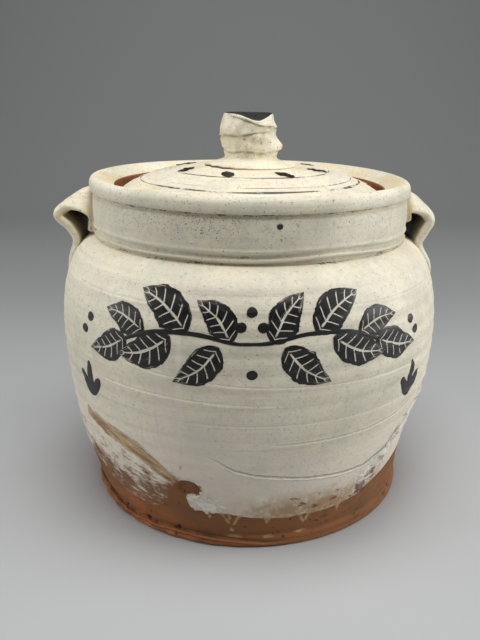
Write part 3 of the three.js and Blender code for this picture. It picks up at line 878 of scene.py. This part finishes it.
def lugSheet(lug):
    # a flattened oval carried along the bent strap; the root is arched, and its edges flare into the collar
    side = lug["side"]
    tip = pot["collar"] + lug["reach"] - lugs["thickness"] / 2
    path = curveThrough([
        (86, 181.1), (96, 182.6), ((pot["collar"] + tip) / 2 + 1.5, 178.5), (tip, 170.4),
        ((tip + wallRadius(154.5)) / 2, 162.4), (wallRadius(154.5) + lug["standoff"], 154.5),
        (wallRadius(142.5) + 0.9, 142.5), (wallRadius(131) - 1.0, 131),
    ], lugs["rings"])
    along = headings(path)
    t = np.linspace(0, 1, lugs["rings"])[:, None]
    turn = onceRound(lugs["sides"])
    half = np.interp(t, np.linspace(0, 1, len(lugs["widths"])), lugs["widths"]) / 2
    across = np.sign(np.cos(turn)) * np.abs(np.cos(turn)) ** 0.65
    up = np.sign(np.sin(turn)) * np.abs(np.sin(turn)) ** 0.75
    thick = lugs["thickness"] + (lugs["tailThickness"] - lugs["thickness"]) * soft(t, 0.58, 0.98)
    thick = thick + 0.9 * bell(t, 0.40, 0.12)
    camber = lug["rootCamber"] + (lugs["tipCamber"] - lug["rootCamber"]) * soft(t, 0.05, 0.36)
    lump = 0.30 * np.sin(5 * across + 9 * t + lug["reach"]) * soft(t, 0.2, 0.35)
    groove = -0.7 * bell(across, 0.1, 0.35) * (up > 0) * between(t, 0.2, 0.36, 0.5, 0.7)
    roll = 1 + 0.4 * np.abs(across) ** 4 * bell(t, 0.44, 0.22)
    behind = soft(side * across, 0.1, 1)
    shut = behind * (12 * bell(t, 0.21, 0.12) + 3.5 * bell(t, 0.50, 0.10))
    out = thick / 2 * roll * up - camber * np.abs(across) ** 3 - shut + lump + groove
    edge = half + 0.5 * np.sin(14 * t + lug["reach"]) + 0 * turn
    radial = path[:, :1] - along[:, 1:] * out
    height = path[:, 1:] + along[:, :1] * out
    points = np.stack([side * radial, side * edge * across, height], axis=-1)
    under = soft(-up, 0.1, 0.7) * between(t, 0.12, 0.25, 0.6, 0.75)
    # painted shade: dark umber inside the strap, fading from its near edge into the depth, and on its top
    # where it meets the collar
    shadeAndSmudge = 0.9 * soft(-up, 0.0, 0.6) * soft(t, 0.1, 0.2) * soft(side * across, -0.9, 0.3)
    join = bell(radial - collarRadius(180.0), 0, 2.2) * (t < 0.3)
    stain = 0.5 * bell(t, 0.13, 0.08) + 0.35 * bell(t, 0.40, 0.14) + 0.40 * under + 0.5 * join
    # the little clay colour under the strap is painted shade too
    bareAndShade = 0.40 * join * np.abs(across) ** 2 + 0.1 * under
    shadeAndSmudge = np.maximum(shadeAndSmudge, 0.35 * join * (up > 0))
    return {"points": settled(points), "values": {"stain": stain, "bareAndShade": bareAndShade, "shadeAndSmudge": shadeAndSmudge, "ink": 0.0}}


lugFinish = creamFinish("strap_slip", 0.8, 0.16)
for node in ("lug_left", "lug_right"):
    strap = closedSkin("strap_" + node, [lugSheet(lugs[node])], lugFinish, "pot")
    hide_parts(node)


# the domed lid

lidLow, lidHigh = (np.array(corner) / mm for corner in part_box("lid"))
lid = {
    "columns": 300,
    "radius": lidHigh[0] - 0.7,
    "seat": lidLow[2],
    "top": lidHigh[2],
    "pad": 30,
    "edge": 3.1,
    # brushed bands in metres: radius, width, and the noise at which the brush begins to touch
    "bands": [(0.0655, 0.0010, 0.40), (0.0605, 0.0006, 0.50), (0.0475, 0.0008, 0.46)],
    "bandColour": colour(34, 34, 33),
}
lidTop = pulledCurve((lid["radius"] - 1.6, lid["seat"] + lid["edge"]), (66, lid["seat"] + 10.4),
                     (48, lid["top"] - 0.9), (lid["pad"], lid["top"]), 64)


def lidHeight(radius, angle):
    # dome over the edge, level under the knob, with faint wheel rings
    dome = np.interp(radius, lidTop[::-1, 0], lidTop[::-1, 1])
    circle = 2 * math.pi * radius
    rings = 0.16 * np.sin(circle / 6.3 + angle) + 0.10 * np.sin(circle / 2.9 - angle)
    return dome + rings * between(radius, 30, 40, 70, 76)


def lidSheet():
    # underside, seat, rounded edge, dome and top turned once round
    top, seat, widest = lid["top"], lid["seat"], lid["radius"]
    low = pulledCurve((6, top - 7), (26, top - 7), (44, top - 8), (68, seat), 16)
    rim = curveThrough([
        (68.6, seat), (76.4, seat), (77.6, seat + 0.6), (widest, seat + 1.4), (widest, seat + 2.1),
        (widest - 0.5, seat + 2.8), lidTop[0],
    ], 22)
    crown = np.stack([np.linspace(27, 5, 5), np.full(5, top)], axis=1)
    line = np.concatenate([low, rim, lidTop[1:], crown])
    angle = onceRound(lid["columns"], -math.pi)
    row = np.arange(len(line))[:, None]
    radius = np.broadcast_to(line[:, :1], (len(line), lid["columns"]))
    z = np.broadcast_to(line[:, 1:], radius.shape)
    turn = np.broadcast_to(angle, radius.shape)
    domed = row >= len(low) + len(rim)
    z = np.where(domed, lidHeight(radius, turn), z)
    lip = (row >= len(low) + 6) & ~domed
    wave = 0.25 * unevenness(turn, 0 * z, 31, 7, 30)
    radius = radius + np.where(lip, -np.abs(wave), 0)
    bareAndShade = np.where(row < len(low) + 13, 1.0, 0.0)
    bareAndShade = np.where(lip & (row >= len(low) + 13), 0.75, bareAndShade)
    worn = soft(radius, 73, 78) * domed * (0.15 + 0.35 * unevenness(turn, z, 34, 9, 30))
    stain = 0.35 * soft(radius, 42, 30) + 0.38 * soft(radius, 64, 77) + 0.10
    values = {"stain": np.clip(stain, 0, 1), "bareAndShade": np.clip(bareAndShade + worn, 0, 1), "shadeAndSmudge": 0.0, "ink": 0.0}
    return {"points": settled(turned(radius, turn, z)), "values": values}


def bandedFinish():
    # the pale coat with thin brushed bands: dark where a radius is nearer than a wandering width
    finish = creamFinish("lid_slip", 1.0, 0.18)
    tree = finish.node_tree
    shader = next(node for node in tree.nodes if node.type == "BSDF_PRINCIPLED")
    plain = Wire(shader.inputs["Base Color"].links[0].from_socket)
    flat = place(tree, (1, 1, 0))
    wander = cloud(flat, 9, 2) - 0.5
    radius = distanceTo(flat) + wander * 0.0035
    dry = streaks(tree, 60, 60, 5, 0.7)
    press = cloud(flat, 14, 2)
    line = 0.0
    for band, width, start in lid["bands"]:
        off = abs(radius - band)
        breadth = spread(press, start - 0.08, start + 0.25, 0.0, width)
        stroke = spread(off - breadth, 0.00008, -0.00012)
        line = larger(stroke, line)
    line = line * spread(dry, 0.36, 0.50)
    base = mixed(line * 0.9, plain, lid["bandColour"])
    feed(shader.inputs["Base Color"], base)
    return finish


lidFinish = bandedFinish()
cover = closedSkin("domed_lid", [lidSheet()], lidFinish, "cover")
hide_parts("lid")


# the twisted knob

knobLow = np.array(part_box("lid_knob")[0]) / mm
knob = {
    "sides": 240, "rings": 150, "foot": knobLow[2], "height": 30,
    "base": 27, "flare": 5.6, "radius": 15.6, "top": 14.2, "dish": 3.0, "swayLow": 0.9, "swayTop": -0.6,
    "lipDip": 3.9, "lipTurn": 0.34, "lipSpread": 0.55, "crease": 1.2, "degree": 0.27,
}
# folds of the twist: edge height at the front, its rise to the right, how far it stands out left and right,
# and how it fades above and below its edge
knobFolds = [
    (26.0, -4.1, 0.16, 0.80, 4.2, 2.0),
    (19.2, 1.9, 2.50, 0.0, 10, 5),
    (9.1, 0.0, 0.50, 0.50, 4.2, 2.0),
]
# brown smudges: degrees, height, size, strength
knobSmudges = [
    (-12, 16, 0.6, 0.7), (23, 13.9, 0.7, 0.7), (8, 14.6, 2.4, 0.22), (30, 12, 2, 0.28), (-20, 22, 2.4, 0.16),
]
knobLump = {"height": 11.6, "out": 3.2, "turn": 1.48, "spread": 0.55, "size": 3.0}


def hump(angle, turn, width):
    # bell of height 1 round the axis: exp(-2 (1 - cos(a - turn)) / width^2)
    return np.exp(-2 * (1 - np.cos(angle - turn)) / width ** 2)


def knobRadius(z):
    # squared flare at the foot, a straight body, then a ramp to the narrower top
    body = knob["radius"] + (knob["top"] - knob["radius"]) * soft(z, knobFolds[1][0], knob["height"])
    return body + (knob["base"] - body) * soft(z, knob["flare"], 0) ** 2


def foldAt(i, angle, z):
    # height above the wandering edge of fold i, and how far it stands out there
    edge, lean, left, right = knobFolds[i][:4]
    side = np.sin(angle)
    wander = 0.35 * unevenness(angle, 0 * z, 60 + i, 6, 40)
    return z - edge - lean * side - wander, (left + right) / 2 + (right - left) / 2 * side


def foldOut(angle, z):
    # each leaning fold fades slowly above its edge and drops back sharply under it; a lump sits at the right
    out = knobLump["out"] * hump(angle, knobLump["turn"], knobLump["spread"])
    out = out * bell(z, knobLump["height"], knobLump["size"])
    for i, fold in enumerate(knobFolds):
        above, size = foldAt(i, angle, z)
        width = np.where(above > 0, fold[4], fold[5])
        pinch = soft(-above, 0, 0.4) * np.exp(np.minimum(above, 0) / 1.8)
        pinch = knob["crease"] * np.clip(2 * size, 0, 1) * pinch
        out = out + size * np.exp(-((above / width) ** 2)) - pinch
    return out


def knobCrease(angle, z):
    # 1 just under the edge of a fold, fading downwards
    crease = 0 * z * angle
    for i in range(len(knobFolds)):
        above, size = foldAt(i, angle, z)
        crease = np.maximum(crease, bell(-above, 0.8, 1.1 - 0.2 * i) * np.clip(1.6 * size, 0, 1))
    return crease


def knobSmudge(angle, z):
    # brown spots, each a bell of its size and strength
    shadeAndSmudge = 0 * z * angle
    for degrees, height, size, strength in knobSmudges:
        away = np.hypot((np.degrees(angle) - degrees) * knob["degree"], z - height)
        shadeAndSmudge = np.maximum(shadeAndSmudge, strength * bell(away, 0, size))
    return shadeAndSmudge


def knobSheet():
    # rings up the twisted side, a rounded lip that dips at the front, then a dished top
    angle = onceRound(knob["sides"], -math.pi)
    up = np.linspace(0, knob["height"], knob["rings"])[:, None]
    share = np.array([0.99, 0.965, 0.93, 0.88, 0.8, 0.7, 0.55, 0.4, 0.25, 0.1])[:, None]
    dip = knob["lipDip"] * hump(angle, knob["lipTurn"], knob["lipSpread"])
    level = up - dip * (up / knob["height"]) ** 4
    torn = hump(angle, -0.95, 0.8)
    smear = np.exp(-up / 0.8) * (torn * (0.9 + 1.1 * unevenness(angle, 0 * up, 41, 22, 40)) - 0.3)
    skin = 0.26 * unevenness(angle, up, 44, 18, 6) * soft(up, 2, 8)
    radius = knobRadius(np.maximum(level - 0.9 * torn, 0)) + foldOut(angle, level) + smear + skin
    radius = radius - 0.5 * soft(up, knob["height"] - 1.2, knob["height"])
    allRadius = np.concatenate([radius, radius[-1:] * share])
    allUp = np.concatenate([up, 0 * share + knob["height"]]) + 0 * angle
    inward = np.concatenate([0 * up + 1, share])
    level = allUp - dip * (inward * allUp / knob["height"]) ** 4 - knob["dish"] * (1 - inward ** 2)
    level = level + np.concatenate([0 * up, 0.3 * bell(share, 0.965, 0.02)])
    points = turned(allRadius, angle + 0 * allRadius, knob["foot"] + level)
    points[..., 0] += knob["swayLow"] + (knob["swayTop"] - knob["swayLow"]) * level / knob["height"]
    crease = np.concatenate([knobCrease(angle, level[:len(up)]), 0 * share + 0 * angle])
    stain = np.clip(0.05 + 0.2 * crease + 0.5 * np.exp(-allUp / 2.5), 0, 1)
    ink = np.concatenate([0 * up, soft(1 - share, 0.0, 0.03)]) + 0 * angle
    ink = np.maximum(ink, soft(allUp, knob["height"] - 0.5, knob["height"] + 0.1))
    # painted shade: clay colour and dark umber in the creases under the folds, and a painted shadow under the
    # torn edge at the foot; the smudges are real brown spots
    bareAndShade = 0.3 * crease + 0.9 * torn * bell(allUp, 0, 0.7)
    shadeAndSmudge = 0.5 * crease * (0.75 + 0.35 * unevenness(angle, 0 * allUp, 48, 20, 40))
    tornShadow = 0.6 * torn * bell(allUp, 0.3, 0.6)
    shadeAndSmudge = np.clip(np.maximum.reduce([shadeAndSmudge, tornShadow, knobSmudge(angle, allUp)]), 0, 1)
    return {"points": settled(points), "values": {"stain": stain, "bareAndShade": bareAndShade, "shadeAndSmudge": shadeAndSmudge, "ink": ink}}


knobFinish = creamFinish("knob_slip", 0.8, 0.2)
grip = closedSkin("twisted_knob", [knobSheet()], knobFinish, "cover")
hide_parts("lid_knob")


# brushed leaves and dots, each a thin pillow of slip on the coat

brush = {
    "rings": 44, "sides": 26, "lift": 0.10, "lidLift": 0.12, "thickness": 0.22, "wrap": 114,
    "leaf": 0.045, "dab": 0.02, "stem": 0.08,
    "black": colour(10, 11, 10), "grey": colour(48, 49, 47), "scored": colour(222, 214, 196),
}


def brushMark(spine, width, shape, seed):
    # flat rings across a curved spine: half width times the shape along it, frayed at the edges
    line = curveThrough(spine, brush["rings"])
    along = headings(line)
    u = np.linspace(0, 1, brush["rings"])[:, None]
    turn = onceRound(brush["sides"])
    draw = np.random.default_rng(seed)
    fray = draw.standard_normal((brush["rings"], 2))
    fray = sum(np.roll(fray, k, 0) for k in range(6)) / 2.4
    lop = draw.uniform(0.86, 1.14)
    fray = np.array([lop, 2 - lop]) + brush[shape] * fray
    if shape == "leaf":
        half = width * np.sin(math.pi * np.clip(u, 0.004, 0.996) ** 0.72) ** 0.9
    elif shape == "dab":
        half = width * (1 - (2 * np.clip(u, 0.004, 0.996) - 1) ** 2) ** 0.5
    else:
        half = width * (0.35 + 0.65 * np.sin(math.pi * np.clip(u, 0.03, 0.97)) ** 0.5)
    across = np.cos(turn) + 0 * u
    half = half * np.where(across > 0, fray[:, :1], fray[:, 1:])
    flat = line[:, None, :] + np.stack([-along[:, 1:], along[:, :1]], -1) * (half * across)[..., None]
    lift = brush["lift"] + brush["thickness"] * np.sin(turn) + 0 * u
    values = {
        "along": u + 0 * turn,
        "across": across,
        "tone": draw.uniform(),
        "scored": 1.0 * (shape == "leaf"),
    }
    return flat, lift, values


def onPot(mark, turn):
    # flat marks wrapped round the belly: across the paper is an angle, up the paper is height
    flat, lift, values = mark
    angle = flat[..., 0] / brush["wrap"] + turn
    angle = np.mod(angle + math.pi, 2 * math.pi) - math.pi
    return {"points": settled(outsidePoint(angle, flat[..., 1], lift)), "values": values}


def onLid(mark):
    # flat marks laid on the dome, seen from above
    flat, lift, values = mark
    radius = np.hypot(flat[..., 0], flat[..., 1])
    angle = np.arctan2(flat[..., 0], -flat[..., 1])
    height = lidHeight(radius, angle) + lift + brush["lidLift"]
    return {"points": settled(turned(radius, angle, height)), "values": values}


def ray(start, degrees, length, bend):
    # three points of a bent line
    a, b = math.radians(degrees), math.radians(degrees + bend)
    middle = (start[0] + 0.5 * length * math.cos(a), start[1] + 0.5 * length * math.sin(a))
    end = (middle[0] + 0.5 * length * math.cos(b), middle[1] + 0.5 * length * math.sin(b))
    return [start, middle, end]


# right half of the garland: root, direction, length, half width, bend
garland = [
    ((10, 127), 60, 29, 8.0, -22), ((32, 131), 38, 32, 8.6, -20), ((56, 128.5), 20, 29, 8.0, -20),
    ((16, 125), -52, 31, 8.4, 22), ((41, 128), -36, 35, 9.0, 20), ((67, 123.5), -28, 31, 8.2, 14),
]
berries = [(0, 141.5), (-5.4, 135), (5.4, 135), (0, 111.5), (96, 128), (101, 121), (-96, 128), (-101, 121)]
stem = [(-5, 127), (8, 127.2), (30, 130.6), (56, 128), (88, 113)]
seedling = [(124, 16), (88, 21), (52, 16)]  # direction and length of its dabs


def garlandMarks(turn, seed):
    # a stem, six leaves to each side and berries between them, none quite like its twin
    draw = np.random.default_rng(seed)
    marks = [
        brushMark(stem, 1.2, "stem", seed),
        brushMark([(-s, z) for s, z in stem][::-1], 1.2, "stem", seed + 1),
    ]
    for i, (root, degrees, length, width, bend) in enumerate(garland):
        for side in (1, -1):
            tilt, grow = draw.uniform(-6, 6), draw.uniform(0.92, 1.08)
            heading = degrees + tilt if side > 0 else 180 - degrees - tilt
            spine = ray((side * root[0], root[1]), heading, length * grow, side * bend)
            marks.append(brushMark(spine, width * grow, "leaf", seed + 10 + 2 * i + (side > 0)))
    for i, (s, z) in enumerate(berries):
        spine = [(s - 2.7, z - 0.5), (s, z), (s + 2.7, z + 0.6)]
        marks.append(brushMark(spine, 2.5, "dab", seed + 50 + i))
    return [onPot(mark, turn) for mark in marks]


def seedlingMarks(turn, seed):
    # three short dabs that fan up from one root
    spines = [ray((0, 82), degrees, length, 0) for degrees, length in seedling]
    return [onPot(brushMark(spine, 3.0, "dab", seed + i), turn) for i, spine in enumerate(spines)]


def blackSlip():
    # thick black with greyer brush streaks, and scored veins that let the pale coat show on the leaves
    finish, tree, shader = newFinish("brushed_black")
    along, across = read(tree, "along"), read(tree, "across")
    grainAt = tree.nodes.new("ShaderNodeCombineXYZ")
    feed(grainAt.inputs[0], along * 2.2)
    feed(grainAt.inputs[1], across * 7.0)
    feed(grainAt.inputs[2], read(tree, "tone") * 40.0)
    streak = cloud(Wire(grainAt.outputs[0]), 1.6, 4, 0.65)
    base = mixed(spread(streak, 0.52, 0.78), brush["black"], brush["grey"])
    aside = abs(across)
    rough = (streak - 0.5) * 0.22 + across
    rib = spread(abs(rough), 0.085, 0.05) * spread(along, 0.10, 0.16) * spread(along, 0.93, 0.86)
    row = calc("FRACT", aside * -0.85 + along * 6.5)
    vein = spread(abs(row - 0.5), 0.085, 0.05) * spread(aside, 0.80, 0.66) * spread(streak, 0.66, 0.58)
    scored = larger(rib, vein) * read(tree, "scored")
    dry = streak + spread(along, 0.55, 1.0) * 0.16 + spread(aside, 0.6, 1.0) * 0.07
    dry = spread(dry, 0.66, 0.76) * read(tree, "scored")
    scored = larger(scored, dry)
    base = mixed(scored * 0.92, base, brush["scored"])
    feed(shader.inputs["Base Color"], base)
    feed(shader.inputs["Roughness"], spread(streak, 0.3, 0.8, 0.34, 0.6))
    raised(shader, scored * -0.8 + streak * 0.3, 0.2)
    return finish


inkFinish = blackSlip()
potMarks = garlandMarks(0, 100) + garlandMarks(math.pi, 300)
for i, degrees in enumerate((50, -50, 130, -130)):
    potMarks += seedlingMarks(math.radians(degrees), 500 + 20 * i)
closedSkin("leaf_garlands", potMarks, inkFinish, "pot")
dabs = {"count": 8, "inner": 36, "outer": 47, "slant": 0.14, "halfWidth": 3.4}
lidMarks = []
for i in range(dabs["count"]):
    facing = 2 * math.pi * (i + 0.5) / dabs["count"]
    slanted = facing + dabs["slant"]
    inner = dabs["inner"] * np.array([math.sin(facing), -math.cos(facing)])
    outer = dabs["outer"] * np.array([math.sin(slanted), -math.cos(slanted)])
    spine = [inner, (inner + outer) / 2, outer]
    lidMarks.append(onLid(brushMark(spine, dabs["halfWidth"], "dab", 700 + i)))
closedSkin("lid_dabs", lidMarks, inkFinish, "cover")


# floor, light and camera

stage = {
    "half": 6.0, "near": -6.0, "bend": 0.9, "radius": 0.7, "wallTop": 4.0, "columns": 9,
    "floor": colour(176, 177, 178), "wall": colour(146, 148, 148),
    "sky": colour(230, 230, 228), "skyStrength": 0.13,
}


def sweepSheet():
    # a level floor that curves up into a wall behind, carried straight across
    quarter = np.linspace(0, math.pi / 2, 24)
    curve = np.stack([stage["bend"] + stage["radius"] * np.sin(quarter),
                      stage["radius"] * (1 - np.cos(quarter))], axis=1)
    wall = [[curve[-1, 0], stage["wallTop"]]]
    line = np.concatenate([[[stage["near"], 0]], curve, wall])
    x = np.linspace(-stage["half"], stage["half"], stage["columns"])
    rows = len(line)
    points = np.concatenate([np.tile(x, rows)[:, None], np.repeat(line, len(x), axis=0)], axis=1)
    ids = np.arange(rows * len(x)).reshape(rows, len(x))
    faces = np.stack([ids[:-1, :-1], ids[:-1, 1:], ids[1:, 1:], ids[1:, :-1]], -1).reshape(-1, 4)
    finish, tree, shader = newFinish("studio_paper")
    axes = tree.nodes.new("ShaderNodeSeparateXYZ")
    feed(axes.inputs[0], place(tree))
    # painted shade: the paper darkens from the floor towards the wall behind, standing for the light falling
    # off
    backShade = spread(Wire(axes.outputs[1]), -0.05, 0.45)
    feed(shader.inputs["Base Color"], mixed(backShade, stage["floor"], stage["wall"]))
    feed(shader.inputs["Roughness"], 0.7)
    floor = added("studio_floor", smoothMesh("studio_floor", points, faces.tolist(), finish))


sweepSheet()
world = bpy.data.worlds.new("studio")
bpy.context.scene.world = world
world.use_nodes = True
sky = world.node_tree.nodes["Background"]
feed(sky.inputs["Color"], stage["sky"])
feed(sky.inputs["Strength"], stage["skyStrength"])

lamps = {
    "overhead": {"at": (0.06, -0.22, 1.30), "aim": (0, 0, 0.12), "size": 0.9, "watts": 14.2},
    "right": {"at": (1.2, -0.10, 0.5), "aim": (0, 0, 0.1), "size": 0.8, "watts": 9.5},
    "left": {"at": (-1.2, -0.05, 0.55), "aim": (0, 0, 0.1), "size": 0.8, "watts": 6.5},
}


def softLamp(name, lamp):
    # a square panel that faces its aim
    light = bpy.data.lights.new(name, "AREA")
    light.energy = lamp["watts"]
    light.size = lamp["size"]
    panel = added(name, light)
    panel.location = lamp["at"]
    away = np.array(lamp["at"]) - np.array(lamp["aim"])
    tilt = math.atan2(math.hypot(away[0], away[1]), away[2])
    panel.rotation_euler = (tilt, 0, math.atan2(away[0], -away[1]))


for name, lamp in lamps.items():
    softLamp(name, lamp)

eye = {"at": (-0.00583, -0.4184, 0.2425), "pitch": 71.29, "lens": 38.25}
lens = bpy.data.cameras.new("front_camera")
lens.lens = eye["lens"]
lens.sensor_width = 36
camera = added("front_camera", lens)
camera.location = eye["at"]
camera.rotation_euler = (math.radians(eye["pitch"]), 0, 0)
bpy.context.scene.camera = camera
bpy.context.scene.view_settings.view_transform = "Standard"
print("floor, lamps and camera placed")
